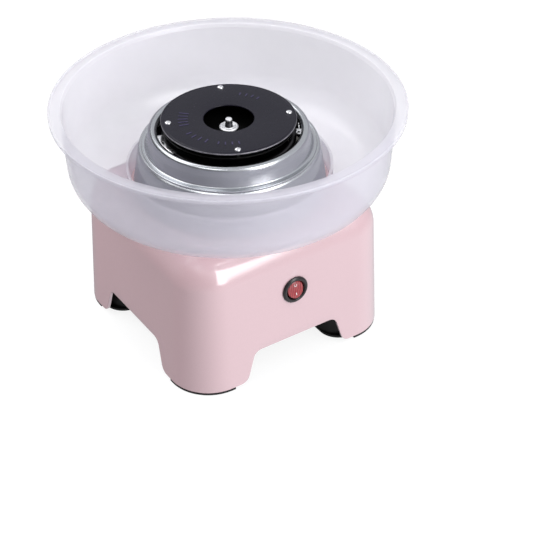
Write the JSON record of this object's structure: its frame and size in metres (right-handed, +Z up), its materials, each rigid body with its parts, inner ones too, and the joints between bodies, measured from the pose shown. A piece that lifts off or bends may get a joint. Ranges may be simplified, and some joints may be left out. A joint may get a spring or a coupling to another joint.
{
  "type": "cotton candy machine",
  "caption": "Table-top candy floss machine: square footed base with a rocker switch, spun metal guard, spinning sugar head and a see-through lift-off bowl.",
  "frame": {"origin": "on the table, under the middle of the base", "axes": "+Z up along the spinning head's axis; the switch is on the -Y side; the supply inlet is on the +Y side"},
  "size_m": [0.284, 0.284, 0.2027],
  "materials": {
    "pearl_pink": "pearl satin",
    "frosted_bowl": "frosted, see-through",
    "black_plastic": "satin",
    "rubber": "matte",
    "aluminium": "spun",
    "black_coating": "dark coating",
    "steel": "brushed",
    "zinc": "zinc plated",
    "copper": "copper",
    "brass": "plain",
    "ferrite": "ferrite",
    "ceramic": "ceramic insulator",
    "red_rocker": "clear red",
    "circuit_board": "solder mask",
    "terminal_plastic": "satin",
    "lead_red": "insulation",
    "lead_white": "insulation",
    "lead_blue": "insulation",
    "lead_brown": "insulation"
  },
  "bodies": {
    "base": {"base_shell": "pearl_pink", "bottom_cover": "black_plastic", "rubber_foot_1": "rubber", "rubber_foot_2": "rubber", "rubber_foot_3": "rubber", "rubber_foot_4": "rubber", "cover_screw_1": "steel", "cover_screw_2": "steel", "cover_screw_3": "steel", "cover_screw_4": "steel", "guard_drum": "aluminium", "guard_ring": "aluminium", "heat_shield_plate": "steel", "guard_screw_1": "steel", "guard_screw_2": "steel", "guard_screw_3": "steel", "heater_ring": "steel", "heater_post_1": "ceramic", "heater_post_2": "ceramic", "heater_post_3": "ceramic", "motor_deck": "zinc", "deck_grommet_1": "rubber", "deck_grommet_2": "rubber", "deck_grommet_3": "rubber", "deck_grommet_4": "rubber", "motor_screw_1": "steel", "motor_screw_2": "steel", "motor_can": "zinc", "motor_end_cap": "black_plastic", "upper_bearing": "steel", "lower_bearing": "steel", "motor_magnet_1": "ferrite", "motor_magnet_2": "ferrite", "switch_housing": "black_plastic", "switch_terminal_1": "brass", "switch_terminal_2": "brass", "cord_gland": "black_plastic", "terminal_block": "terminal_plastic", "rectifier_board": "circuit_board", "thermal_cutout": "steel", "mains_wire": "lead_brown", "switch_wire": "lead_red", "motor_wire": "lead_blue", "heater_wire": "lead_white"},
    "bowl": {"bowl": "frosted_bowl"},
    "head": {"extractor_disc": "black_coating", "disc_rivet_1": "aluminium", "disc_rivet_2": "aluminium", "disc_rivet_3": "aluminium", "disc_rivet_4": "aluminium", "sugar_pan": "black_coating", "mesh_band": "steel", "drive_hub": "aluminium", "lock_nut": "aluminium", "motor_shaft": "steel", "armature": "steel", "commutator": "copper", "cooling_fan": "black_plastic"},
    "rocker": {"switch_rocker": "red_rocker"}
  },
  "joints": [
    {"name": "head_spin", "type": "hinge", "parent": "base", "child": "head", "pos_m": [0, 0, 0.18], "axis": [0, 0, 1], "continuous": true},
    {"name": "bowl_lift", "type": "slide", "parent": "base", "child": "bowl", "axis": [0, 0, 1], "range_m": [0, 0.08]},
    {"name": "rocker_tilt", "type": "hinge", "parent": "base", "child": "rocker", "pos_m": [0, -0.0935, 0.07555], "axis": [1, 0, 0], "range_deg": [0, 18]}
  ]
}
